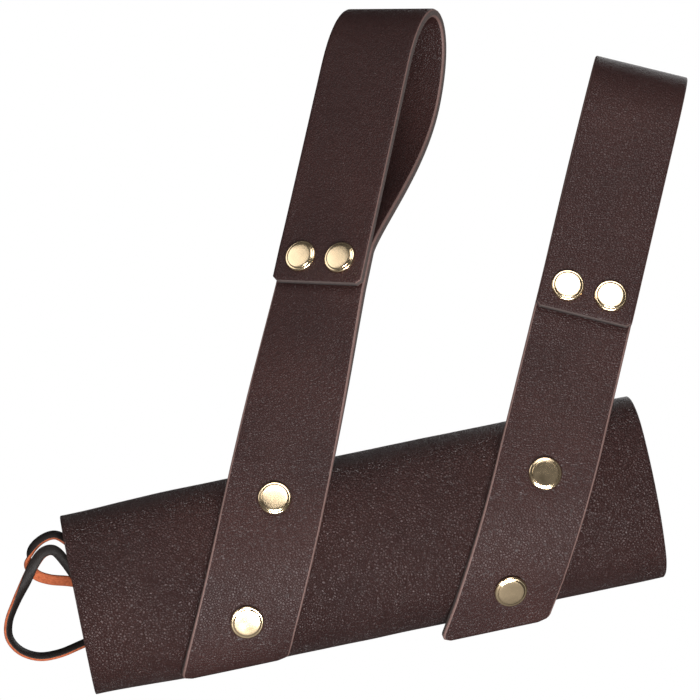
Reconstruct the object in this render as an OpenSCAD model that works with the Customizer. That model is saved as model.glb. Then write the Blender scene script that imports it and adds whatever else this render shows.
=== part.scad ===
// Laced leather sleeve with two riveted belt-loop straps.
//
// A panel of leather is rolled into a flattened tube and laced along its back.
// Two straps are riveted to its front. Each runs up, folds over forward into a
// belt loop and is riveted to itself. Millimetres, +Z up, +X along the belt,
// -Y to the front. The origin is where a belt's centre line passes, halfway
// between the two loops.

/* [Sleeve] */
// Length of the sleeve along its axis
sleeve_len = 212; // [180:1:260]
// Height of the flattened tube, outside
sleeve_h = 68; // [60:1:76]
// Depth of the flattened tube, outside
sleeve_d = 40; // [36:1:46]
// Radius of the two round ends of the section
end_r = 17.3; // [15:0.1:17.8]
// Thickness of the sleeve's leather
wall = 2; // [1.6:0.1:2.4]
// How far the right end is higher than the left, in degrees
tilt = 26; // [15:1:30]
// Place of the sleeve's centre along the belt
sleeve_x = -5.8; // [-12:0.1:0]
// How far the sleeve's centre line is in front of the belt's
sleeve_front = 42; // [38:0.5:48]
// How far the sleeve's centre is below the belt's centre line
sleeve_drop = 166.5; // [150:0.5:185]

/* [Back seam] */
// Gap between the two long edges of the panel
slit_w = 8; // [5:0.5:10]
// Height of each row of lace holes from the middle of the gap
lace_row = 9; // [8:0.5:11]
// Number of X crossings of the lace
crossings = 5; // [3:1:6]
// Distance from one pair of holes to the next
lace_pitch = 20; // [16:1:20]
// Radius of a lace hole
lace_hole_r = 2; // [1.9:0.1:2.5]
// Diameter of the round cord that stands for the leather lace
lace_d = 2.8; // [2.4:0.1:3]

/* [Straps] */
// Width of both straps
strap_w = 36; // [30:1:40]
// Thickness of both straps
strap_t = 3.3; // [2.6:0.1:3.6]
// Backward slope of the straps where they leave the sleeve, in degrees
leave = 20; // [19:1:24]
// Distance from the line where a strap leaves the sleeve to its bending line
bend_up = 32.5; // [30:0.5:36]
// Clear gap on each side of the bending line
bend_gap = 0.35; // [0.3:0.05:0.6]
// Gap between the two layers of a loop under its rivets
layer_gap = 0.2; // [0.1:0.05:0.4]
// Length of the free end below the rivets of a loop
free_end = 9.5; // [8:0.5:12]

/* [Left strap] */
// Place along the sleeve
left_place = -41.1; // [-50:0.1:-30]
// Lean to the left, in degrees
left_lean = 0.8; // [-4:0.1:4]
// Angle down the sleeve's front at which the strap ends
left_low = 52; // [45:1:56]
// Height of the upper rivet over the sleeve's middle
left_upper_rivet = 24; // [20:0.1:26]
// Height of the lower rivet over the sleeve's middle
left_lower_rivet = -15; // [-18:0.1:-10]
// Height of the loop's rivets over the bending line
left_pair_up = 61; // [40:0.5:75]
// Height of the loop over its rivets
left_loop_h = 110; // [80:0.5:125]
// Depth of the loop
left_loop_d = 30; // [24:0.5:36]
// Twist of the loop to the left, in degrees
left_twist = 25; // [0:1:30]

/* [Right strap] */
// Place along the sleeve
right_place = 59.6; // [50:0.1:70]
// Lean to the left, in degrees
right_lean = -2.2; // [-4:0.1:4]
// Angle down the sleeve's front at which the strap goes straight
right_low = 25; // [20:1:30]
// Length of the straight tail below that
right_tail = 15; // [8:0.5:20]
// Height of the upper rivet over the sleeve's middle
right_upper_rivet = 13.8; // [10:0.1:22]
// Height of the lower rivet over the sleeve's middle
right_lower_rivet = -23.5; // [-28:0.1:-15]
// Height of the loop's rivets over the bending line
right_pair_up = 27; // [20:0.5:50]
// Height of the loop over its rivets
right_loop_h = 100.5; // [80:0.5:125]
// Depth of the loop
right_loop_d = 36; // [28:0.5:40]

/* [Rivets] */
// Radius of a rivet's cap
cap_r = 6; // [5:0.5:6.5]
// Height of a rivet's cap
cap_h = 1.7; // [1.3:0.1:2]
// Radius of the disc on the hidden side
back_r = 5; // [4.5:0.1:5]
// Height of that disc
back_h = 1.1; // [0.9:0.1:1.3]
// Radius of the cap's collar, which fills the punched hole
collar_r = 2.2; // [2:0.1:2.4]
// Radius of the solid post inside the collar
post_r = 1.5; // [1.3:0.1:1.6]
// Distance between the two rivets of a loop
pair_gap = 16; // [14:0.5:18]

/* [Hidden] */
$fn = 96;
seam = 0.05;
hole_play = 0.05;

// Section of the sleeve: two shallow arcs, front and back, and two round ends
end_c = sleeve_h / 2 - end_r;
half_d = sleeve_d / 2;
arc_c = (end_c * end_c - pow(half_d - end_r, 2)) / (2 * (half_d - end_r));
arc_r = arc_c + half_d;
arc_turn = atan(end_c / arc_c);

// Each strap: place, lean, low angle, tail, rivet heights, pair height, loop
// height, loop depth, twist
LEFT = [left_place, left_lean, left_low, 0, [left_upper_rivet, left_lower_rivet],
    left_pair_up, left_loop_h, left_loop_d, left_twist];
RIGHT = [right_place, right_lean, right_low, right_tail, [right_upper_rivet, right_lower_rivet],
    right_pair_up, right_loop_h, right_loop_d, 0];
function place(k) = k[0];
function lean(k) = k[1];
function low_angle(k) = k[2];
function tail(k) = k[3];
function rivet_heights(k) = k[4];
function pair_up(k) = k[5];
function loop_h(k) = k[6];
function loop_d(k) = k[7];
function twist(k) = k[8];

// The two layers of a loop part this far above its rivets
close_up = 5;
// The twist of a strap starts and ends this far from the bending line and the free end
twist_rest = 4;

// ---- Frames ----------------------------------------------------------------

// Sleeve frame: x along the axis, -y to the front, z across the section
module at_sleeve() {
    translate([sleeve_x, -sleeve_front, -sleeve_drop]) rotate([0, -tilt, 0]) children();
}

// Strap frame: x across the strap, y up along it, z out of its face, with the
// origin on the sleeve's surface where the strap leaves it
function slant(k) = tan(tilt - lean(k));
function turn(k) = atan(cos(leave) * slant(k));
leave_z = end_c + end_r * sin(leave);
module at_strap(k) {
    at_sleeve()
        translate([place(k) + leave_z * slant(k), -end_r * cos(leave), leave_z])
            rotate([90 - leave, 0, 0]) rotate([0, 0, -turn(k)]) children();
}

// ---- Sleeve ----------------------------------------------------------------

module section(grow = 0) {
    clip = (arc_r + grow) * sin(arc_turn);
    intersection() {
        translate([arc_c, 0]) circle(arc_r + grow, $fn = 360);
        translate([-arc_c, 0]) circle(arc_r + grow, $fn = 360);
        square([4 * sleeve_d, 2 * clip], center = true);
    }
    for (side = [-1, 1]) translate([0, side * end_c]) circle(end_r + grow, $fn = 180);
}

// Turns a drawing of the section, x for depth and y for height, into a bar
// along the sleeve's axis
module along_sleeve(len) {
    rotate([90, 0, 90]) translate([0, 0, -len / 2]) linear_extrude(len) children();
}

function lace_s(i) = (i - crossings + 0.5) * lace_pitch;

module sleeve_panel() {
    color("#43302c") at_sleeve() difference() {
        along_sleeve(sleeve_len) difference() {
            section();
            section(-wall);
            translate([0, -slit_w / 2]) square([sleeve_d, slit_w]);
        }
        for (i = [0 : 2 * crossings - 1], side = [-1, 1])
            translate([lace_s(i), sleeve_d, side * lace_row])
                rotate([90, 0, 0]) cylinder(h = sleeve_d, r = lace_hole_r);
        for (k = [LEFT, RIGHT], i = [0, 1])
            at_front_rivet(k, i) rivet_hole(sleeve_d / 2);
    }
}

// ---- Straps ----------------------------------------------------------------

// Point over the sleeve's surface where it faces up by angle a, y and z
function over_sleeve(a, off) =
    let (r = (abs(a) <= arc_turn ? arc_r : end_r) + off)
    [(abs(a) <= arc_turn ? arc_c : 0) - r * cos(a),
        r * sin(a) + (abs(a) <= arc_turn ? 0 : sign(a) * end_c)];

// One face of a strap on the sleeve: a straight tail, the stretch that
// follows the surface and a straight run on upward
surface_steps = 24;
function strap_face(k, off) =
    let (low = -low_angle(k), step = (leave - low) / surface_steps,
        first = over_sleeve(low, off), last = over_sleeve(leave, off))
    concat(tail(k) > 0 ? [first + tail(k) * [-sin(low), -cos(low)]] : [],
        [for (i = [0 : surface_steps]) over_sleeve(low + step * i, off)],
        [last + anchor_rise * [sin(leave), cos(leave)]]);

// Section of a strap where it lies on the sleeve
module strap_section(k) {
    inner = strap_face(k, seam);
    polygon(concat(strap_face(k, strap_t), [for (i = [len(inner) - 1 : -1 : 0]) inner[i]]));
}

// The anchor's straight top is cut square to the strap, so it starts too long
anchor_rise = bend_up + strap_w;

module strap_anchor(k) {
    half_s = strap_w / 2 / cos(turn(k));
    z_top = 4 * sleeve_h;
    color("#4a3430") difference() {
        intersection() {
            at_sleeve() along_sleeve(2 * sleeve_len) strap_section(k);
            at_sleeve() translate([place(k), 0, 0]) rotate([90, 0, 0])
                linear_extrude(4 * sleeve_d, center = true)
                    polygon([[z_top * slant(k) - half_s, z_top], [z_top * slant(k) + half_s, z_top],
                        [-z_top * slant(k) + half_s, -z_top], [-z_top * slant(k) - half_s, -z_top]]);
        }
        at_strap(k) translate([-2 * strap_w, bend_up - strap_t / 2 - bend_gap, -strap_w])
            cube([4 * strap_w, 4 * strap_w, 2 * strap_w]);
        for (i = [0, 1]) at_sleeve() at_front_rivet(k, i) rivet_hole(2 * strap_t);
    }
}

// Shape of a loop's centre line at part u of its height, for the front run
// (side 1) and the back run (side -1). The front run is straight up to the
// widest height, and both then close in on the crest.
widest = 5 / 7;
fullest = pow(widest, 1.25) * sqrt(1 - widest);
function bow(u) = pow(u, 1.25) * sqrt(max(0, 1 - u)) / fullest;
function loop_z(u, side, depth) =
    depth / 2 * (side * bow(u) - (u < widest ? bow(u) : 1));

// Centre line of the whole loop part, from the bending line up the back run,
// over the crest and down the front run to the free end: [y, z] points with
// the half thickness there
crest_steps = 36;
free_steps = 14;
function loop_path(k) =
    let (r = strap_t / 2, shut = pair_up(k) + close_up, h = loop_h(k) - close_up - r)
    concat(
        [for (a = [80, 55, 28]) [-r * sin(a), r, r * cos(a)]],
        [for (i = [0 : free_steps - 1]) [shut * i / free_steps, r, r]],
        [for (i = [crest_steps : -1 : 0])
            let (t = 360 * i / crest_steps, u = pow(sin(t / 2), 2), side = t > 180 ? -1 : 1,
                base = r + (strap_t + layer_gap) * (1 - t / 360))
            [shut + h * u, base + loop_z(u, side, loop_d(k)), r]],
        [for (i = [1 : 4])
            [shut - (close_up + free_end) * i / 4, r + strap_t + layer_gap, r]]);

function smooth(x) = let (c = min(1, max(0, x))) c * c * (3 - 2 * c);
function twist_at(k, y) =
    -twist(k) * smooth((y - twist_rest) / (pair_up(k) - free_end - 2 * twist_rest));
function twisted(k, p) =
    let (a = twist_at(k, p[1]), z = p[2] - strap_t / 2)
    [p[0] * cos(a) + z * sin(a), p[1], -p[0] * sin(a) + z * cos(a) + strap_t / 2];

// One ring of four corners across the strap at step i of its path
function loop_ring(k, path, i) =
    let (a = path[max(0, i - 1)], b = path[min(len(path) - 1, i + 1)],
        run = norm([b[0] - a[0], b[1] - a[1]]),
        ny = -(b[1] - a[1]) / run, nz = (b[0] - a[0]) / run, p = path[i])
    [for (c = [[-1, 1], [1, 1], [1, -1], [-1, -1]])
        twisted(k, [c[0] * strap_w / 2, p[0] + c[1] * p[2] * ny, p[1] + c[1] * p[2] * nz])];

// Skin of a tube whose rings all have n corners
function tube_faces(rings, n) = concat(
    [[for (j = [n - 1 : -1 : 0]) j]],
    [for (i = [0 : rings - 2], j = [0 : n - 1])
        [i * n + j, i * n + (j + 1) % n, (i + 1) * n + (j + 1) % n]],
    [for (i = [0 : rings - 2], j = [0 : n - 1])
        [i * n + j, (i + 1) * n + (j + 1) % n, (i + 1) * n + j]],
    [[for (j = [0 : n - 1]) (rings - 1) * n + j]]);

module strap_loop(k) {
    path = loop_path(k);
    points = [for (i = [0 : len(path) - 1]) each loop_ring(k, path, i)];
    color("#4a3430") difference() {
        at_strap(k) translate([0, bend_up, 0])
            polyhedron(points, tube_faces(len(path), 4), convexity = 6);
        for (side = [-1, 1]) at_loop_rivet(k, side) rivet_hole(strap_t * 3);
    }
}

// ---- Rivets ----------------------------------------------------------------

// Surface angle under a point of a strap at height z
function surface_angle(k, z) =
    let (a = abs(z) <= arc_r * sin(arc_turn) ? asin(z / arc_r)
        : sign(z) * asin(min(1, (abs(z) - end_c) / end_r)))
    min(leave, max(-low_angle(k), a));

// Frame of rivet i on the sleeve, z outward, origin on the strap's outer face
module at_front_rivet(k, i) {
    z = rivet_heights(k)[i];
    a = surface_angle(k, z);
    translate([place(k) + z * slant(k), over_sleeve(a, 0)[0] + past(k, i) * sin(a), z])
        rotate([90 - a, 0, 0]) translate([0, 0, strap_t + seam]) children();
}

// Frame of a rivet of the loop's pair, z outward, origin on the front layer
module at_loop_rivet(k, side) {
    at_strap(k) translate([0, bend_up + pair_up(k), strap_t / 2])
        rotate([0, -twist(k), 0])
            translate([side * pair_gap / 2, 0, strap_t * 1.5 + layer_gap]) children();
}

module rivet_hole(depth) {
    translate([0, 0, -depth]) cylinder(h = 1.5 * depth, r = collar_r + hole_play);
}

// Cap with a flat face and a stepped round rim, and its hollow collar
module rivet_cap(grip) {
    color("#d9b878") difference() {
        rotate_extrude() union() {
            square([collar_r, seam]);
            polygon(concat([[0, seam], [cap_r - 0.3, seam]],
                [for (a = [0 : 15 : 90]) [cap_r - 0.8 + 0.8 * cos(a), 0.8 + 0.6 * sin(a)]],
                [[cap_r - 1.2, cap_h - 0.2], [cap_r - 1.4, cap_h], [0, cap_h]]));
            translate([0, -0.8 * grip]) square([collar_r, 0.8 * grip]);
        }
        translate([0, 0, -grip]) cylinder(h = grip, r = post_r + hole_play);
    }
}

// Disc on the hidden side with the post that the cap's collar closes on
module rivet_post(grip) {
    color("#c8a768") union() {
        translate([0, 0, -grip - back_h]) cylinder(h = back_h, r1 = back_r - 0.6, r2 = back_r);
        translate([0, 0, -grip - seam]) cylinder(h = grip - seam, r = post_r);
    }
}

// The disc inside the sleeve stands off the hollow of the wall by its sagitta,
// and more if the rivet is past the line where the strap leaves the sleeve
function sag(r, half) = r - sqrt(r * r - half * half);
function past(k, i) =
    let (z = rivet_heights(k)[i], a = surface_angle(k, z)) (z - over_sleeve(a, 0)[1]) / cos(a);
function front_grip(k, i) =
    strap_t + wall + sag(end_r - wall, back_r + abs(past(k, i))) + 4 * seam;
loop_grip = 2 * strap_t + layer_gap + seam;

// ---- Lace ------------------------------------------------------------------

lace_out_y = half_d + lace_d / 2 + 0.1;
lace_in_y = -arc_c + sqrt(pow(arc_r - wall, 2) - lace_row * lace_row) - lace_d / 2 - 0.2;
over = lace_d + 0.3;

// One diagonal across the gap, in through a hole at each end
function crossing(i, j, side, hump) = [
    [lace_s(i), lace_in_y, side * lace_row],
    [lace_s(i), lace_out_y, side * lace_row],
    [(lace_s(i) + lace_s(j)) / 2, lace_out_y + hump, 0],
    [lace_s(j), lace_out_y, -side * lace_row],
    [lace_s(j), lace_in_y, -side * lace_row]];

// The lace runs up the seam, crosses inside at the right end and runs back
function up_side(n) = n % 2 == 0 ? 1 : -1;
lace_end = 3;
back_route = concat(
    [[lace_s(0) - lace_end, lace_in_y, lace_row]],
    [for (n = [0 : crossings - 1]) each crossing(2 * n, 2 * n + 1, up_side(n), over)],
    [for (n = [crossings - 1 : -1 : 0]) each crossing(2 * n + 1, 2 * n, up_side(n), 0)],
    [[lace_s(0) - lace_end, lace_in_y, -lace_row]]);

// Free loops of the two ends of the lace, in the sleeve's frame: each leaves
// the left end, turns back and is tucked in again
upper_route = [[-93.1, lace_in_y, lace_row], [-96.6, lace_in_y, 9.3], [-99.6, 14, 12.5],
    [-102.6, 12.5, 17.5], [-105.1, 11.3, 22], [-109.1, 10.8, 25.5], [-114.1, 11, 25], [-118.6, 11, 22], [-120.6, 11, 17.5],
    [-119.1, 11.5, 13], [-114.6, 12, 10], [-108.1, 12, 8], [-102.1, 12, 6], [-96.1, 12, 5]];
lower_route = [[-93.1, lace_in_y, -lace_row], [-96.6, lace_in_y - 0.4, -8.6], [-99.6, 11.5, -4], [-102.1, 8.5, 2],
    [-104.6, 7, 9], [-107.6, 6.5, 16], [-110.6, 6.5, 20.5], [-114.6, 7, 20.5],
    [-118.6, 7.5, 17], [-123.1, 7.5, 11], [-127.6, 7.5, 5], [-131.6, 7.5, -1.5],
    [-132.6, 7.5, -7.5], [-129.6, 8, -13], [-123.6, 8.5, -16.5], [-116.1, 9, -17],
    [-108.1, 9, -15.5], [-101.1, 9, -14], [-95.1, 9, -14]];

function unit(v) = v / norm(v);
function along(path, i) = unit(path[min(len(path) - 1, i + 1)] - path[max(0, i - 1)]);
function across(d) = unit(cross(d, abs(d[1]) < 0.9 ? [0, 1, 0] : [1, 0, 0]));

// Rings of a round cord. Each ring's start direction is carried on from the
// ring before, so that the skin doesn't twist.
function carried(path, i) =
    i == 0 ? across(along(path, 0))
    : let (d = along(path, i), before = carried(path, i - 1)) unit(before - d * (before * d));
module cord(path, d) {
    sides = 8;
    points = [for (i = [0 : len(path) - 1])
        let (t = along(path, i), u = carried(path, i), v = cross(t, u))
        for (a = [0 : 360 / sides : 359]) path[i] + d / 2 * (cos(a) * u + sin(a) * v)];
    polyhedron(points, tube_faces(len(path), sides), convexity = 8);
}

module lace(path) {
    color("#8c4526") at_sleeve() cord(path, lace_d);
}

// ---- Nodes -----------------------------------------------------------------

module front_cap(k, i) { at_sleeve() at_front_rivet(k, i) rivet_cap(front_grip(k, i)); }
module front_post(k, i) { at_sleeve() at_front_rivet(k, i) rivet_post(front_grip(k, i)); }
module loop_cap(k, side) { at_loop_rivet(k, side) rivet_cap(loop_grip); }
module loop_post(k, side) { at_loop_rivet(k, side) rivet_post(loop_grip); }

sleeve_panel();
strap_anchor(LEFT);  // left_strap_anchor
strap_anchor(RIGHT);  // right_strap_anchor
strap_loop(LEFT);  // left_strap_loop
strap_loop(RIGHT);  // right_strap_loop
front_cap(LEFT, 0);  // left_upper_rivet_cap
front_post(LEFT, 0);  // left_upper_rivet_post
front_cap(LEFT, 1);  // left_lower_rivet_cap
front_post(LEFT, 1);  // left_lower_rivet_post
front_cap(RIGHT, 0);  // right_upper_rivet_cap
front_post(RIGHT, 0);  // right_upper_rivet_post
front_cap(RIGHT, 1);  // right_lower_rivet_cap
front_post(RIGHT, 1);  // right_lower_rivet_post
loop_cap(LEFT, 1);  // left_loop_inner_rivet_cap
loop_post(LEFT, 1);  // left_loop_inner_rivet_post
loop_cap(LEFT, -1);  // left_loop_outer_rivet_cap
loop_post(LEFT, -1);  // left_loop_outer_rivet_post
loop_cap(RIGHT, -1);  // right_loop_inner_rivet_cap
loop_post(RIGHT, -1);  // right_loop_inner_rivet_post
loop_cap(RIGHT, 1);  // right_loop_outer_rivet_cap
loop_post(RIGHT, 1);  // right_loop_outer_rivet_post
lace(back_route);  // back_lace
lace(upper_route);  // lace_upper_tail
lace(lower_route);  // lace_lower_tail
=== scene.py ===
"""Laced leather sleeve with two riveted belt-loop straps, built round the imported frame."""
import math

import bpy
from mathutils import Matrix, Vector, noise


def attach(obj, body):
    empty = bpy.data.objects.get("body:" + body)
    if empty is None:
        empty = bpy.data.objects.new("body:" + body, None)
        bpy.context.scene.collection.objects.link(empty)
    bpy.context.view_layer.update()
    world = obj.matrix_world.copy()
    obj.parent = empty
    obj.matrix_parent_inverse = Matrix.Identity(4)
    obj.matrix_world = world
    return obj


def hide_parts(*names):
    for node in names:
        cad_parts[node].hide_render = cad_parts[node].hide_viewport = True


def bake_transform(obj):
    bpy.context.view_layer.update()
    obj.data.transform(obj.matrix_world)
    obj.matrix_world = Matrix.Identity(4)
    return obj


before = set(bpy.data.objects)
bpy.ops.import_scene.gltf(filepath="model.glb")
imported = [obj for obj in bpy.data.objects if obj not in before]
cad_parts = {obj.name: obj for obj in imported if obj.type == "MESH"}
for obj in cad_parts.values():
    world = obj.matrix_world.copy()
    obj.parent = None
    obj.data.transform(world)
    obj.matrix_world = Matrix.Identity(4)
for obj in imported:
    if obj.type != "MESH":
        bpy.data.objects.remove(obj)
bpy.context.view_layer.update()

MM = 0.001

# ---- Driving sizes, in millimetres, as the CAD has them ---------------------------------

SLEEVE_AT = Vector((-5.8, -42, -166.5))
TILT = math.radians(26)
SLEEVE_LEN = 212
SLEEVE_H = 68
SLEEVE_D = 40
END_R = 17.3
WALL = 2
SLIT_W = 8
LACE_ROW = 9
CROSSINGS = 5
LACE_PITCH = 20
STRAP_W = 36
STRAP_T = 3.3
LEAVE = math.radians(20)
BEND_UP = 32.5
LAYER_GAP = 0.2
FREE_END = 9.5
CLOSE_UP = 5
PAIR_GAP = 16
CAP_R = 6
BACK_R = 5

END_C = SLEEVE_H / 2 - END_R
HALF_D = SLEEVE_D / 2
ARC_C = (END_C**2 - (HALF_D - END_R) ** 2) / (2 * (HALF_D - END_R))
ARC_R = ARC_C + HALF_D
ARC_TURN = math.atan(END_C / ARC_C)
ARC_LEN = ARC_R * ARC_TURN
END_LEN = END_R * (math.pi - 2 * ARC_TURN)

STRAPS = {
    "left": dict(place=-41.1, lean=0.8, low=52, tail=0, rivets=(24, -15), pair_up=61,
                 loop_h=110, loop_d=30, twist=25, seed=15),
    "right": dict(place=59.6, lean=-2.2, low=25, tail=15, rivets=(13.8, -23.5), pair_up=27,
                  loop_h=100.5, loop_d=36, twist=0, seed=16),
}


# ---- Small helpers ------------------------------------------------------------------------

def new_object(name, vertices, faces, materials, face_material=None, smooth=True):
    """A mesh object in metres from points in millimetres."""
    mesh = bpy.data.meshes.new(name)
    mesh.from_pydata([Vector(v) * MM for v in vertices], [], faces)
    for material in materials:
        mesh.materials.append(material)
    if face_material:
        for polygon, index in zip(mesh.polygons, face_material):
            polygon.material_index = index
    for polygon in mesh.polygons:
        polygon.use_smooth = smooth
    mesh.update()
    obj = bpy.data.objects.new(name, mesh)
    bpy.context.scene.collection.objects.link(obj)
    return obj


def wave(point, size, seed=0.0):
    """Smooth noise from -1 to 1 at a point in millimetres, with bumps about size apart."""
    return noise.noise(Vector(point) / size + Vector((seed, seed * 1.7, -seed)))


def ease(x):
    x = min(1.0, max(0.0, x))
    return x * x * (3 - 2 * x)


# ---- Frames -------------------------------------------------------------------------------

AT_SLEEVE = Matrix.Translation(SLEEVE_AT) @ Matrix.Rotation(-TILT, 4, "Y")


def slant(k):
    return math.tan(TILT - math.radians(k["lean"]))


def turn(k):
    return math.atan(math.cos(LEAVE) * slant(k))


def over_sleeve(a, off=0.0):
    """Depth and height in the section where the front faces up by angle a, off above it."""
    if abs(a) <= ARC_TURN:
        return ARC_C - (ARC_R + off) * math.cos(a), (ARC_R + off) * math.sin(a)
    side = math.copysign(1, a)
    return -(END_R + off) * math.cos(a), side * END_C + (END_R + off) * math.sin(a)


LEAVE_Z = over_sleeve(LEAVE)[1]


def at_strap(k):
    """Strap frame: x across, y up along the strap, z out of its face."""
    place = Vector((k["place"] + LEAVE_Z * slant(k), over_sleeve(LEAVE)[0], LEAVE_Z))
    return (AT_SLEEVE @ Matrix.Translation(place)
            @ Matrix.Rotation(math.pi / 2 - LEAVE, 4, "X") @ Matrix.Rotation(-turn(k), 4, "Z"))


def surface_angle(k, z):
    """Angle by which the sleeve faces up under a point of a strap at height z."""
    if abs(z) <= ARC_R * math.sin(ARC_TURN):
        a = math.asin(z / ARC_R)
    else:
        a = math.copysign(math.asin(min(1, (abs(z) - END_C) / END_R)), z)
    return min(LEAVE, max(-math.radians(k["low"]), a))


def front_rivet(k, i):
    """Frame of a rivet on the sleeve, z outward, origin on the strap's outer face."""
    z = k["rivets"][i]
    a = surface_angle(k, z)
    y0, z0 = over_sleeve(a)
    past = (z - z0) / math.cos(a)
    place = Vector((k["place"] + z * slant(k), y0 + past * math.sin(a), z))
    return (AT_SLEEVE @ Matrix.Translation(place) @ Matrix.Rotation(math.pi / 2 - a, 4, "X")
            @ Matrix.Translation((0, 0, STRAP_T + 0.05)))


def loop_rivet(k, side):
    """Frame of a rivet of a loop's pair, z outward, origin on the front layer."""
    return (at_strap(k) @ Matrix.Translation((0, BEND_UP + k["pair_up"], STRAP_T / 2))
            @ Matrix.Rotation(-math.radians(k["twist"]), 4, "Y")
            @ Matrix.Translation((side * PAIR_GAP / 2, 0, 1.5 * STRAP_T + LAYER_GAP)))


# ---- Materials ----------------------------------------------------------------------------

def material(name):
    m = bpy.data.materials.new(name)
    m.use_nodes = True
    nodes, links = m.node_tree.nodes, m.node_tree.links
    return m, nodes, links, nodes["Principled BSDF"]


def add(nodes, kind, **values):
    """A node with its sockets or properties set by name."""
    node = nodes.new(kind)
    for key, value in values.items():
        if key in node.inputs:
            node.inputs[key].default_value = value
        else:
            setattr(node, key, value)
    return node


def ramp(nodes, stops):
    node = nodes.new("ShaderNodeValToRGB")
    elements = node.color_ramp.elements
    while len(elements) < len(stops):
        elements.new(0.5)
    for element, (place, colour) in zip(elements, stops):
        element.position = place
        element.color = (*colour, 1) if len(colour) == 3 else colour
    return node


def leather(name, base, valley, grain=0.00075, depth=0.00007, rough=0.42, fine=1.0, sheen=0.17):
    """Pressed pebble grain: rounded cells with creases between them, fine pores that also vary the
    gloss, and a slow drift in colour."""
    m, nodes, links, shader = material(name)
    coord = add(nodes, "ShaderNodeTexCoord")
    bend = add(nodes, "ShaderNodeTexNoise", Scale=0.35 / grain, Detail=2.0)
    mix = add(nodes, "ShaderNodeMix", data_type="VECTOR")
    mix.inputs["Factor"].default_value = 0.0012
    links.new(coord.outputs["Object"], bend.inputs["Vector"])
    links.new(coord.outputs["Object"], mix.inputs[4])
    links.new(bend.outputs["Color"], mix.inputs[5])
    cells = add(nodes, "ShaderNodeTexVoronoi", feature="SMOOTH_F1", Scale=1 / grain,
                Smoothness=0.35)
    creases = add(nodes, "ShaderNodeTexVoronoi", feature="DISTANCE_TO_EDGE", Scale=1 / grain)
    pores = add(nodes, "ShaderNodeTexNoise", Scale=4 / grain, Detail=4.0)
    drift = add(nodes, "ShaderNodeTexNoise", Scale=28.0, Detail=3.0)
    for node in (cells, creases, pores):
        links.new(mix.outputs[1], node.inputs["Vector"])
    links.new(coord.outputs["Object"], drift.inputs["Vector"])
    crease = add(nodes, "ShaderNodeMapRange", **{"From Max": 0.22})
    links.new(creases.outputs["Distance"], crease.inputs["Value"])
    height = add(nodes, "ShaderNodeMath", operation="MULTIPLY_ADD")
    height.inputs[1].default_value = -0.6
    links.new(cells.outputs["Distance"], height.inputs[0])
    links.new(crease.outputs["Result"], height.inputs[2])
    rough_height = add(nodes, "ShaderNodeMath", operation="MULTIPLY_ADD")
    rough_height.inputs[1].default_value = 0.5 * fine
    links.new(pores.outputs["Fac"], rough_height.inputs[0])
    links.new(height.outputs["Value"], rough_height.inputs[2])
    bump = add(nodes, "ShaderNodeBump", Distance=depth, Strength=1.0)
    links.new(rough_height.outputs["Value"], bump.inputs["Height"])
    links.new(bump.outputs["Normal"], shader.inputs["Normal"])
    tone = ramp(nodes, [(0.0, valley), (0.6, base)])
    links.new(crease.outputs["Result"], tone.inputs["Fac"])
    shade = add(nodes, "ShaderNodeMix", data_type="RGBA", blend_type="MULTIPLY")
    shade.inputs["Factor"].default_value = 1.0
    drift_tone = ramp(nodes, [(0.3, (0.84, 0.84, 0.86)), (0.7, (1.14, 1.10, 1.08))])
    links.new(drift.outputs["Fac"], drift_tone.inputs["Fac"])
    links.new(tone.outputs["Color"], shade.inputs[6])
    links.new(drift_tone.outputs["Color"], shade.inputs[7])
    links.new(shade.outputs[2], shader.inputs["Base Color"])
    gloss = add(nodes, "ShaderNodeMapRange", **{"To Min": rough - 0.05, "To Max": rough + 0.08})
    links.new(pores.outputs["Fac"], gloss.inputs["Value"])
    links.new(gloss.outputs["Result"], shader.inputs["Roughness"])
    shader.inputs["IOR"].default_value = 1.48
    shader.inputs["Specular IOR Level"].default_value = sheen
    return m


def fibre(name, dark, light, scale=900.0, rough=0.9):
    """Cut edge or flesh side of leather: matted fibres."""
    m, nodes, links, shader = material(name)
    coord = add(nodes, "ShaderNodeTexCoord")
    mat = add(nodes, "ShaderNodeTexNoise", Scale=scale, Detail=6.0, Roughness=0.7)
    links.new(coord.outputs["Object"], mat.inputs["Vector"])
    tone = ramp(nodes, [(0.35, dark), (0.65, light)])
    links.new(mat.outputs["Fac"], tone.inputs["Fac"])
    links.new(tone.outputs["Color"], shader.inputs["Base Color"])
    bump = add(nodes, "ShaderNodeBump", Distance=0.00012, Strength=0.8)
    links.new(mat.outputs["Fac"], bump.inputs["Height"])
    links.new(bump.outputs["Normal"], shader.inputs["Normal"])
    shader.inputs["Roughness"].default_value = rough
    return m


def plated_metal(name, colour, rough=0.16):
    """Gold-plated brass with fine polishing marks and slightly uneven gloss."""
    m, nodes, links, shader = material(name)
    coord = add(nodes, "ShaderNodeTexCoord")
    marks = add(nodes, "ShaderNodeTexNoise", Scale=2600.0, Detail=3.0)
    cloud = add(nodes, "ShaderNodeTexNoise", Scale=220.0, Detail=2.0)
    for node in (marks, cloud):
        links.new(coord.outputs["Object"], node.inputs["Vector"])
    gloss = add(nodes, "ShaderNodeMapRange", **{"To Min": rough - 0.05, "To Max": rough + 0.1})
    links.new(cloud.outputs["Fac"], gloss.inputs["Value"])
    links.new(gloss.outputs["Result"], shader.inputs["Roughness"])
    tone = ramp(nodes, [(0.3, tuple(0.93 * c for c in colour)), (0.7, colour)])
    links.new(cloud.outputs["Fac"], tone.inputs["Fac"])
    links.new(tone.outputs["Color"], shader.inputs["Base Color"])
    bump = add(nodes, "ShaderNodeBump", Distance=0.000012, Strength=0.5)
    links.new(marks.outputs["Fac"], bump.inputs["Height"])
    links.new(bump.outputs["Normal"], shader.inputs["Normal"])
    shader.inputs["Metallic"].default_value = 1.0
    return m


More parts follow.
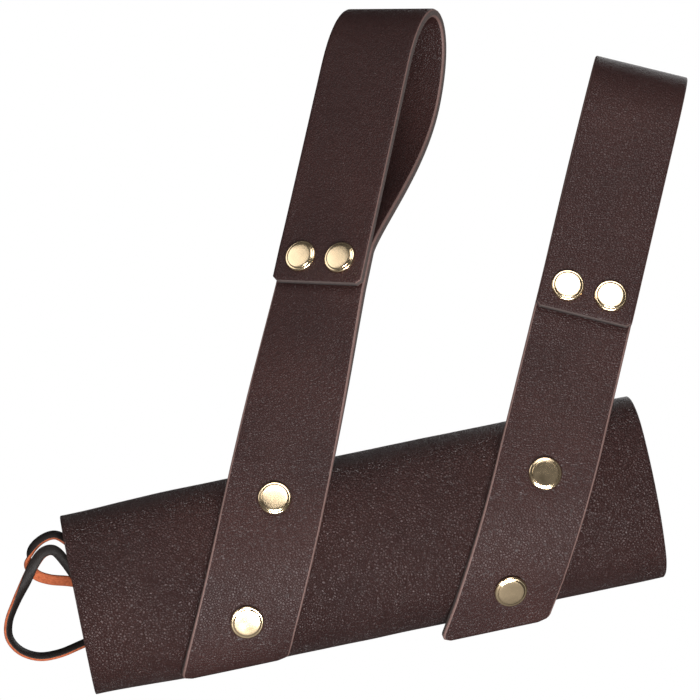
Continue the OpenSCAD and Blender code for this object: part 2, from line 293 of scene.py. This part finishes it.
BROWN = (0.032, 0.0137, 0.0125)
BROWN_DEEP = (0.018, 0.0078, 0.0071)
SLEEVE_LEATHER = leather("sleeve_leather", BROWN, BROWN_DEEP, grain=0.0009, depth=0.0003,
                         rough=0.34, sheen=0.3)
STRAP_LEATHER = leather("strap_leather", BROWN, BROWN_DEEP, grain=0.0009, depth=0.00012,
                        rough=0.38, sheen=0.22)
LINING = fibre("sleeve_lining", (0.020, 0.011, 0.009), (0.036, 0.021, 0.018), rough=0.8)
# Light cut-edge colour of the leather's skin layers; on the straps it also paints a highlight line
# along the outer face's bevel.
EDGE_SKIN_AND_PAINTED_HIGHLIGHT = fibre("edge_skin_and_painted_highlight", (0.090, 0.050, 0.043), (0.140, 0.080, 0.070), 1400.0, 0.7)
EDGE_CORE = fibre("edge_core", (0.040, 0.028, 0.026), (0.085, 0.062, 0.056), 1600.0, 0.9)
GOLD = plated_metal("rivet_gold", (0.96, 0.74, 0.47))
LACE_GRAIN = leather("lace_grain", (0.012, 0.009, 0.008), (0.006, 0.005, 0.005), grain=0.0005,
                     depth=0.00003, rough=0.45)
LACE_SUEDE = fibre("lace_suede", (0.22, 0.045, 0.014), (0.42, 0.105, 0.038), 1100.0, 0.95)


# ---- Camera, light and floor --------------------------------------------------------------

def camera():
    """Seen a little from the left and rolled, so that the sleeve lies low on the left."""
    aim = Vector((-29, -42, -99)) * MM
    far = 1.0
    side, roll = math.radians(-6), math.radians(14.7)
    forward = Vector((-math.sin(side), math.cos(side), 0))
    level = forward.cross(Vector((0, 0, 1)))
    right = level * math.cos(roll) + Vector((0, 0, 1)) * math.sin(roll)
    up = Vector((0, 0, 1)) * math.cos(roll) - level * math.sin(roll)
    data = bpy.data.cameras.new("camera")
    data.lens = 36 * far / 0.2545
    data.sensor_width = 36
    obj = bpy.data.objects.new("camera", data)
    turn_to = Matrix((right, up, -forward)).transposed().to_4x4()
    obj.matrix_world = Matrix.Translation(aim - forward * far) @ turn_to
    bpy.context.scene.collection.objects.link(obj)
    bpy.context.scene.camera = obj


def soft_light(name, place, aim, size, power, tall=None):
    """A square or, with tall given, a rectangular area light."""
    data = bpy.data.lights.new(name, "AREA")
    data.shape = "RECTANGLE"
    data.size, data.size_y = size, tall or size
    data.energy = power
    obj = bpy.data.objects.new(name, data)
    obj.location = place
    obj.rotation_euler = (Vector(aim) - Vector(place)).to_track_quat("-Z", "Y").to_euler()
    bpy.context.scene.collection.objects.link(obj)


def surroundings():
    """Soft boxes that the polished rivets mirror, a dim white room and a grey floor."""
    aim = (-0.01, -0.03, -0.1)
    soft_light("high_box", (-0.25, -0.95, 0.95), aim, 0.8, 10.5)
    soft_light("low_box", (0.1, -1.1, -0.5), aim, 0.9, 26, 0.2)
    soft_light("left_box", (-1.3, -0.2, 0.2), aim, 0.8, 3)
    soft_light("back_box", (0.5, 1.1, 0.6), aim, 0.9, 5)
    world = bpy.data.worlds.new("studio")
    world.use_nodes = True
    nodes, links = world.node_tree.nodes, world.node_tree.links
    seen = add(nodes, "ShaderNodeBackground", Color=(1, 1, 1, 1), Strength=1.0)
    lit = nodes["Background"]
    lit.inputs["Color"].default_value = (1, 1, 1, 1)
    lit.inputs["Strength"].default_value = 0.06
    which = add(nodes, "ShaderNodeLightPath")
    mix = add(nodes, "ShaderNodeMixShader")
    links.new(which.outputs["Is Camera Ray"], mix.inputs[0])
    links.new(lit.outputs[0], mix.inputs[1])
    links.new(seen.outputs[0], mix.inputs[2])
    links.new(mix.outputs[0], nodes["World Output"].inputs["Surface"])
    bpy.context.scene.world = world
    bpy.context.scene.view_settings.view_transform = "Standard"
    half, drop = 0.75, -0.62
    floor = new_object("floor", [(x * half / MM, y * half / MM, drop / MM)
                                 for x, y in ((-1, -1), (1, -1), (1, 1), (-1, 1))],
                       [(0, 1, 2, 3)], [fibre("floor_paper", (0.22, 0.22, 0.22),
                                              (0.26, 0.26, 0.26), 60.0)])


camera()
surroundings()


# ---- Lace ---------------------------------------------------------------------------------

LACE_W = 3.8
LACE_T = 1.5
CORD_R = 1.4
LACE_END = 3
CROSS_OVER = 3.1

# Depth of the lace inside and outside the back, and the free loops of its two ends, in the
# sleeve's frame, all as in the CAD, where round cords stand for the lace
LACE_IN_Y = -ARC_C + math.sqrt((ARC_R - WALL) ** 2 - LACE_ROW**2) - CORD_R - 0.2
LACE_OUT_Y = HALF_D + CORD_R + 0.1
UPPER_ROUTE = [
    (-93.1, LACE_IN_Y, LACE_ROW), (-96.6, LACE_IN_Y, 9.3), (-99.6, 14, 12.5),
    (-102.6, 12.5, 17.5), (-105.1, 11.3, 22), (-109.1, 10.8, 25.5), (-114.1, 11, 25),
    (-118.6, 11, 22), (-120.6, 11, 17.5), (-119.1, 11.5, 13), (-114.6, 12, 10),
    (-108.1, 12, 8), (-102.1, 12, 6), (-96.1, 12, 5)]
LOWER_ROUTE = [
    (-93.1, LACE_IN_Y, -LACE_ROW), (-96.6, LACE_IN_Y - 0.4, -8.6), (-99.6, 11.5, -4),
    (-102.1, 8.5, 2), (-104.6, 7, 9), (-107.6, 6.5, 16), (-110.6, 6.5, 20.5),
    (-114.6, 7, 20.5), (-118.6, 7.5, 17), (-123.1, 7.5, 11), (-127.6, 7.5, 5),
    (-131.6, 7.5, -1.5), (-132.6, 7.5, -7.5), (-129.6, 8, -13), (-123.6, 8.5, -16.5),
    (-116.1, 9, -17), (-108.1, 9, -15.5), (-101.1, 9, -14), (-95.1, 9, -14)]


def lace_s(i):
    """Place of hole i along the sleeve."""
    return (i - CROSSINGS + 0.5) * LACE_PITCH


def crossing(i, j, side, hump):
    """One diagonal across the gap, in through a hole at each end."""
    middle = (lace_s(i) + lace_s(j)) / 2
    return [(lace_s(i), LACE_IN_Y, side * LACE_ROW), (lace_s(i), LACE_OUT_Y, side * LACE_ROW),
            (middle, LACE_OUT_Y + hump, 0), (lace_s(j), LACE_OUT_Y, -side * LACE_ROW),
            (lace_s(j), LACE_IN_Y, -side * LACE_ROW)]


def back_route():
    """Up the gap with one diagonal between each two pairs of holes, and back with the other."""
    start = (lace_s(0) - LACE_END, LACE_IN_Y, LACE_ROW)
    end = (lace_s(0) - LACE_END, LACE_IN_Y, -LACE_ROW)
    up = [p for n in range(CROSSINGS) for p in crossing(2 * n, 2 * n + 1, (-1) ** n, CROSS_OVER)]
    down = [p for n in reversed(range(CROSSINGS))
            for p in crossing(2 * n + 1, 2 * n, (-1) ** n, 0)]
    return [start, *up, *down, end]


def smooth_line(route, steps):
    """Catmull-Rom curve through the route's points."""
    points = [Vector(p) for p in route]
    line = []
    for i in range(len(points) - 1):
        a, b = points[max(0, i - 1)], points[i]
        c, d = points[i + 1], points[min(len(points) - 1, i + 2)]
        for j in range(steps):
            t = j / steps
            line.append(0.5 * (2 * b + (c - a) * t + (2 * a - 5 * b + 4 * c - d) * t * t
                               + (3 * b - a - 3 * c + d) * t**3))
    return [*line, points[-1]]


def thong(name, line, facing):
    """A flat thong along a line. facing(i) is the direction that its grain side looks to.
    Grain on one face, rust suede on the other face and both cut edges."""
    w, t = LACE_W / 2, LACE_T / 2
    ring = [(-w, t * 0.55), (-w * 0.86, t), (0, t * 1.04), (w * 0.86, t), (w, t * 0.55),
            (w, -t * 0.55), (w * 0.86, -t), (0, -t), (-w * 0.86, -t), (-w, -t * 0.55)]
    count = len(ring)
    vertices, faces, kinds = [], [], []
    for i, p in enumerate(line):
        along = (line[min(len(line) - 1, i + 1)] - line[max(0, i - 1)]).normalized()
        out = facing(i)
        out = (out - along * out.dot(along)).normalized()
        across = along.cross(out)
        vertices += [AT_SLEEVE @ (p + across * a + out * b) for a, b in ring]
    for i in range(len(line) - 1):
        for j in range(count):
            k = (j + 1) % count
            faces.append((i * count + j, i * count + k, (i + 1) * count + k, (i + 1) * count + j))
            kinds.append(0 if j < 4 else 1)
    last = (len(line) - 1) * count
    faces += [tuple(reversed(range(count))), tuple(last + j for j in range(count))]
    kinds += [1, 1]
    return new_object(name, vertices, faces, [LACE_GRAIN, LACE_SUEDE], kinds)


def free_tail(name, route, node, facing):
    line = smooth_line(route, 8)
    tail = thong(name, line, lambda i: facing(i / (len(line) - 1), line[i]))
    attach(tail, "sleeve")
    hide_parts(node)


def from_middle(p, middle):
    """Direction in the sleeve's side plane from the middle of a free loop to a point."""
    return Vector((p.x - middle[0], 0, p.z - middle[1])).normalized()


def upper_facing(part, p):
    """Grain outward round the loop, then flesh side forward where it goes back in."""
    back = ease((part - 0.5) / 0.2)
    return (from_middle(p, (-109, 16)) * 0.8 + Vector((0, -0.6, 0))) * (1 - back) + (
        Vector((-0.1, 1, 0.3)) * back)


def lower_facing(part, p):
    """Flesh side forward at the hole, grain forward where it crosses, then grain inward."""
    cross = ease((part - 0.12) / 0.1)
    loop = ease((part - 0.4) / 0.2)
    front = Vector((0.1, 1, 0)) * (1 - cross) + Vector((-0.15, -1, 0.25)) * cross
    return front * (1 - loop) + (from_middle(p, (-113, -2)) * -0.85 + Vector((0, -0.5, 0))) * loop


free_tail("lace_upper_loop", UPPER_ROUTE, "lace_upper_tail", upper_facing)
free_tail("lace_lower_loop", LOWER_ROUTE, "lace_lower_tail", lower_facing)


def back_lacing():
    line = smooth_line(back_route(), 6)
    panel_y = HALF_D - WALL / 2

    def facing(i):
        """Grain outward behind the panel and inward inside it, turning over in the holes."""
        p = line[i]
        in_hole = abs(p.y - panel_y) < 2.5
        return Vector((0, 1 if p.y > panel_y else -1,
                       0.001 + (math.copysign(0.9, p.z) if in_hole else 0)))

    lace = thong("back_lacing", line, facing)
    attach(lace, "sleeve")
    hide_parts("back_lace")


back_lacing()


# ---- Sleeve -------------------------------------------------------------------------------

HALF_GIRTH = 2 * ARC_LEN + END_LEN


def section_point(g, off=0.0):
    """Depth, height and outward direction at girth g, measured from the front's middle, up."""
    side = 1 if g >= 0 else -1
    g = abs(g)
    if g <= ARC_LEN:
        a = g / ARC_R
        centre, r = (ARC_C, 0), ARC_R
    elif g <= ARC_LEN + END_LEN:
        a = ARC_TURN + (g - ARC_LEN) / END_R
        centre, r = (0, END_C), END_R
    else:
        a = math.pi - ARC_TURN + (g - ARC_LEN - END_LEN) / ARC_R
        centre, r = (-ARC_C, 0), ARC_R
    out = (-math.cos(a), math.sin(a))
    return (centre[0] + (r + off) * out[0], side * (centre[1] + (r + off) * out[1]),
            out[0], side * out[1])


def rivet_marks():
    """Where the rivets press on the sleeve: place along the axis, height in the section."""
    return [(k["place"] + z * slant(k), z) for k in STRAPS.values() for z in k["rivets"]]


def sleeve():
    """A panel bent round the section: outer face, inner face and cut edges between them."""
    edge = HALF_GIRTH - SLIT_W / 2
    rows, columns = 150, 170
    # Depth below the outer face, and how far the panel's border draws in there
    layers = [(0.0, 0.35), (-0.3, 0.06), (-0.65, 0.0), (-WALL + 0.65, 0.0), (-WALL + 0.3, 0.06),
              (-WALL, 0.35)]
    marks = rivet_marks()

    def place(s, g, off):
        """Point of the panel, with the left end pressed flatter, slow waves and rivet marks."""
        y, z, oy, oz = section_point(g, off)
        left_end = ease((-s - 60) / 45)
        pinch = 1 - 0.035 * left_end**1.3
        flare = 1 + 0.03 * left_end
        ripple = 0.25 * wave((s, g, 0), 34, 3) + 0.1 * wave((s, g, 5), 13, 8)
        if y < 0 and off > -WALL / 2:
            for ms, mz in marks:
                ripple -= 0.35 * math.exp(-((math.hypot(s - ms, z - mz) / 9) ** 2))
        return AT_SLEEVE @ Vector((s, (y + oy * ripple) * flare, (z + oz * ripple) * pinch))

    vertices, index = [], {}
    for layer, (off, inset) in enumerate(layers):
        for i in range(rows + 1):
            for j in range(columns + 1):
                s = (-1 + 2 * i / rows) * (SLEEVE_LEN / 2 - inset)
                g = (-1 + 2 * j / columns) * (edge - inset)
                index[layer, i, j] = len(vertices)
                vertices.append(place(s, g, off))
    faces, kinds = [], []

    def quad(a, b, c, d, kind):
        faces.append((a, b, c, d))
        kinds.append(kind)

    last = len(layers) - 1
    for i in range(rows):
        for j in range(columns):
            quad(index[0, i, j], index[0, i + 1, j], index[0, i + 1, j + 1], index[0, i, j + 1], 0)
            quad(index[last, i, j], index[last, i, j + 1], index[last, i + 1, j + 1],
                 index[last, i + 1, j], 1)
    border = ([(i, 0) for i in range(rows)] + [(rows, j) for j in range(columns)]
              + [(i, columns) for i in range(rows, 0, -1)]
              + [(0, j) for j in range(columns, 0, -1)])
    kind_of = [0, 2, 3, 2, 1]
    for layer in range(last):
        for n, (i, j) in enumerate(border):
            i2, j2 = border[(n + 1) % len(border)]
            quad(index[layer, i, j], index[layer + 1, i, j], index[layer + 1, i2, j2],
                 index[layer, i2, j2], kind_of[layer])
    used = sorted({v for f in faces for v in f})
    renumber = {v: n for n, v in enumerate(used)}
    obj = new_object("sleeve_leather_panel", [vertices[v] for v in used],
                     [tuple(renumber[v] for v in f) for f in faces],
                     [SLEEVE_LEATHER, LINING, EDGE_SKIN_AND_PAINTED_HIGHLIGHT, EDGE_CORE], kinds)
    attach(obj, "sleeve")
    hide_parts("sleeve_panel")


sleeve()


# ---- Straps -------------------------------------------------------------------------------

WIDEST = 5 / 7
FULLEST = WIDEST**1.25 * math.sqrt(1 - WIDEST)


def bow(u):
    return u**1.25 * math.sqrt(max(0, 1 - u)) / FULLEST


def twist_at(k, y):
    """Twist of the strap at height y over its bending line."""
    start = -BEND_UP + 6
    part = (y - start) / (k["pair_up"] - FREE_END - start)
    return -math.radians(k["twist"]) * (0.6 * min(1, max(0, part)) + 0.4 * ease(part))


def loop_line(k):
    """Centre line of the strap above the bending line, (y, z) points 1.2 mm or more apart."""
    r = STRAP_T / 2
    shut = k["pair_up"] + CLOSE_UP
    h = k["loop_h"] - CLOSE_UP - r
    steps = 120
    line = [(shut * i / 40, r) for i in range(40)]
    for i in range(steps, -1, -1):
        t = 2 * math.pi * i / steps
        u = math.sin(t / 2) ** 2
        side = -1 if t > math.pi else 1
        bulge = bow(u) if u < WIDEST else 1
        base = r + (STRAP_T + LAYER_GAP) * (1 - t / (2 * math.pi))
        line.append((shut + h * u, base + k["loop_d"] / 2 * (side * bow(u) - bulge)))
    drop = CLOSE_UP + FREE_END
    line += [(shut - drop * i / 10, r + STRAP_T + LAYER_GAP) for i in range(1, 11)]
    even = [line[0]]
    for p in line[1:]:
        if math.dist(p, even[-1]) > 1.2:
            even.append(p)
    if even[-1] != line[-1]:
        even[-1] = line[-1]
    return even


def girth_to(angle):
    """Girth from the front's middle to where the sleeve faces up or down by the angle."""
    return ARC_LEN + (angle - ARC_TURN) * END_R


def pressed(distance):
    """Depth of the round mark of a rivet at a distance from its middle."""
    return 0.4 * math.exp(-((distance / 7.5) ** 4))


def corner(t, radius):
    """How much the half width shrinks at distance t from an end with rounded corners."""
    return radius - math.sqrt(radius**2 - max(0.0, radius - t) ** 2)


class Strap:
    """Shape of one strap as rows across it, from its low end to the loop's free end."""

    LOW_ROWS = 90
    SQUARE_Y = 14.0
    ROW_STEP = 1.3

    def __init__(self, sizes):
        self.sizes = sizes
        self.to_world = at_strap(sizes)
        self.turn = turn(sizes)
        self.loop = loop_line(sizes)
        self.rows = [("low", i / self.LOW_ROWS) for i in range(self.LOW_ROWS + 1)]
        y = self.SQUARE_Y + self.ROW_STEP
        while y < BEND_UP - 0.5:
            self.rows.append(("straight", y))
            y += self.ROW_STEP
        self.rows += [("loop", i) for i in range(len(self.loop))]

    def on_sleeve(self, x, y, off):
        """Point x across and y up from the leaving line, off above the sleeve's surface."""
        k = self.sizes
        girth = -x * math.sin(self.turn) + y * math.cos(self.turn)
        if girth >= 0:
            return self.to_world @ Vector((x, y, off))
        girth += girth_to(LEAVE)
        low = math.radians(k["low"])
        straight = max(0.0, -girth_to(low) - girth)
        girth = max(girth, -girth_to(low))
        point_y, point_z = section_point(girth, off)[:2]
        height = section_point(girth)[1] - straight * math.cos(low)
        s = k["place"] + height * slant(k) + x / math.cos(self.turn)
        return AT_SLEEVE @ Vector((s, point_y + straight * math.sin(low),
                                   point_z - straight * math.cos(low)))

    def twisted(self, x, y, z):
        """Point of the part above the sleeve, y up from the bending line, z out of its middle."""
        w = twist_at(self.sizes, y)
        return self.to_world @ Vector((x * math.cos(w) + z * math.sin(w), BEND_UP + y,
                                       -x * math.sin(w) + z * math.cos(w) + STRAP_T / 2))

    def point(self, row, x, depth):
        """Point x across the row and depth below the face that is outward on the sleeve."""
        kind, value = row
        if kind == "loop":
            a = self.loop[max(0, value - 1)]
            b = self.loop[min(len(self.loop) - 1, value + 1)]
            run = math.dist(a, b)
            ny, nz = (-(b[1] - a[1]) / run, (b[0] - a[0]) / run) if value else (0.0, 1.0)
            y, z = self.loop[value]
            off = STRAP_T / 2 - depth
            return self.twisted(x, y + off * ny, z + off * nz - STRAP_T / 2)
        if kind == "straight":
            return self.twisted(x, value - BEND_UP, STRAP_T / 2 - depth)
        low_girth = -girth_to(math.radians(self.sizes["low"])) - girth_to(LEAVE)
        y_end = (low_girth - self.sizes["tail"] + x * math.sin(self.turn)) / math.cos(self.turn)
        return self.on_sleeve(x, y_end + (self.SQUARE_Y - y_end) * value, STRAP_T - depth)

    def dimple(self, row, x):
        """Depth by which the rivets press the leather in."""
        k = self.sizes
        kind, value = row
        if kind == "loop":
            y, z = self.loop[value]
            if abs(z - (1.5 * STRAP_T + LAYER_GAP)) >= 1:
                return 0.0
            return sum(pressed(math.hypot(x - side * PAIR_GAP / 2, y - k["pair_up"]))
                       for side in (-1, 1))
        at = AT_SLEEVE.inverted() @ self.point(row, x, 0)
        return sum(pressed(math.hypot(at.x - (k["place"] + z * slant(k)), at.z - z))
                   for z in k["rivets"])

    def lengths(self):
        """Distance of each row from the low end, along the strap's middle."""
        middles = [self.point(row, 0, STRAP_T / 2) for row in self.rows]
        total, lengths = 0.0, [0.0]
        for a, b in zip(middles, middles[1:]):
            total += (b - a).length
            lengths.append(total)
        return lengths


def strap(side):
    """One bent strip: two faces, and between them side edges with a bevel and a core, the outer
    face's edge strips given the light edge colour as a painted highlight line.
    """
    shape = Strap(STRAPS[side])
    columns = 30
    bevel = 0.7
    low_round, free_round = 3.0, 1.8
    edge_steps = ((0.7, 0.22), (1.0, 0.75), (1.0, STRAP_T - 0.75), (0.7, STRAP_T - 0.22))
    lengths = shape.lengths()
    vertices, faces, kinds = [], [], []
    for row, length in zip(shape.rows, lengths):
        w = STRAP_W / 2 - corner(length, low_round) - corner(lengths[-1] - length, free_round)
        w -= bevel
        across = [(-1 + 2 * j / columns) * w for j in range(columns + 1)]
        for x in across:
            uneven = 0.12 * wave((x, length, 0), 30, STRAPS[side]["seed"])
            vertices.append(shape.point(row, x, 0.1 - uneven + shape.dimple(row, x)))
        vertices += [shape.point(row, w + bevel * f, depth) for f, depth in edge_steps]
        vertices += [shape.point(row, x, STRAP_T) for x in reversed(across)]
        vertices += [shape.point(row, -(w + bevel * f), depth)
                     for f, depth in reversed(edge_steps)]
    skin, edge_band_and_painted_highlight, core = 0, 1, 2
    # The first bevel step next to the outer face takes the light edge colour, not the skin: a
    # painted highlight line along both long edges. The inner face's matching step stays skin.
    kind_of = ([skin] * columns + [edge_band_and_painted_highlight, edge_band_and_painted_highlight, core, edge_band_and_painted_highlight, skin] + [skin] * columns
               + [skin, edge_band_and_painted_highlight, core, edge_band_and_painted_highlight, edge_band_and_painted_highlight])
    ring = len(kind_of)
    for i in range(len(shape.rows) - 1):
        for j in range(ring):
            j2 = (j + 1) % ring
            faces.append((i * ring + j, i * ring + j2, (i + 1) * ring + j2, (i + 1) * ring + j))
            kinds.append(kind_of[j])
    for base, is_low_end in ((0, True), (len(vertices) - ring, False)):
        inner = base + ring - 5
        caps = [(base + j, base + j + 1, inner - j - 1, inner - j) for j in range(columns)]
        caps += [tuple(range(base + columns, base + columns + 6)),
                 (*range(inner, inner + 5), base)]
        faces += [tuple(reversed(face)) if is_low_end else face for face in caps]
        kinds += [core] * len(caps)
    obj = new_object(f"{side}_strap", vertices, faces, [STRAP_LEATHER, EDGE_SKIN_AND_PAINTED_HIGHLIGHT, EDGE_CORE], kinds)
    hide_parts(f"{side}_strap_anchor", f"{side}_strap_loop")
    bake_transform(obj)


for side_name in STRAPS:
    strap(side_name)


# ---- Rivets -------------------------------------------------------------------------------

def lathe(name, profile, to_world, segments=56):
    """A turned piece from (radius, height) points, closed on its axis at both ends."""
    vertices, faces = [], []
    for radius, height in profile[1:-1]:
        for j in range(segments):
            a = 2 * math.pi * j / segments
            vertices.append(to_world @ Vector((radius * math.cos(a), radius * math.sin(a), height)))
    first, last = len(vertices), len(vertices) + 1
    vertices += [to_world @ Vector((0, 0, height)) for _, height in (profile[0], profile[-1])]
    rings = len(profile) - 2
    for j in range(segments):
        k = (j + 1) % segments
        faces.append((first, k, j))
        faces.append((last, (rings - 1) * segments + j, (rings - 1) * segments + k))
        for i in range(rings - 1):
            faces.append((i * segments + j, i * segments + k, (i + 1) * segments + k,
                          (i + 1) * segments + j))
    return new_object(name, vertices, faces, [GOLD])


def arc(centre_r, centre_h, radius, start, end, steps):
    return [(centre_r + radius * math.cos(math.radians(start + (end - start) * i / steps)),
             centre_h + radius * math.sin(math.radians(start + (end - start) * i / steps)))
            for i in range(steps + 1)]


def rivet(name, to_world, grip, body):
    """Double-cap rivet: a capped collar in front and a disc with a post behind."""
    sunk = -0.35
    cap = [(0, -0.8 * grip), (2.2, -0.8 * grip), (2.2, sunk), (CAP_R - 0.5, sunk),
           *arc(CAP_R - 0.75, sunk + 0.75, 0.75, -60, 80, 8),
           (CAP_R - 1.15, 1.02), *arc(CAP_R - 1.5, 0.98, 0.36, 30, 88, 4),
           (CAP_R - 2.2, 1.37), (CAP_R - 3.6, 1.4), (0, 1.41)]
    back = [(0, -grip - 1.1), (BACK_R - 1.2, -grip - 1.1),
            *arc(BACK_R - 0.7, -grip - 0.55, 0.55, -80, 80, 8), (1.5, -grip - 0.02),
            (1.5, -0.85 * grip), (0, -0.85 * grip)]
    for part, profile in (("cap", cap), ("post", back)):
        piece = lathe(f"{name}_{part}_metal", profile, to_world)
        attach(piece, body)
        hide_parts(f"{name}_{part}")


def rivets():
    inner_r = END_R - WALL
    for side, k in STRAPS.items():
        for i, height in enumerate(("upper", "lower")):
            z = k["rivets"][i]
            a = surface_angle(k, z)
            reach = BACK_R + abs(z - over_sleeve(a)[1]) / math.cos(a)
            sag = inner_r - math.sqrt(inner_r**2 - reach**2)
            rivet(f"{side}_{height}_rivet", front_rivet(k, i), STRAP_T + WALL + sag, "sleeve")
        outward = -1 if side == "left" else 1
        for which, x in (("inner", -outward), ("outer", outward)):
            rivet(f"{side}_loop_{which}_rivet", loop_rivet(k, x), 2 * STRAP_T + LAYER_GAP,
                  f"{side}_loop")


rivets()
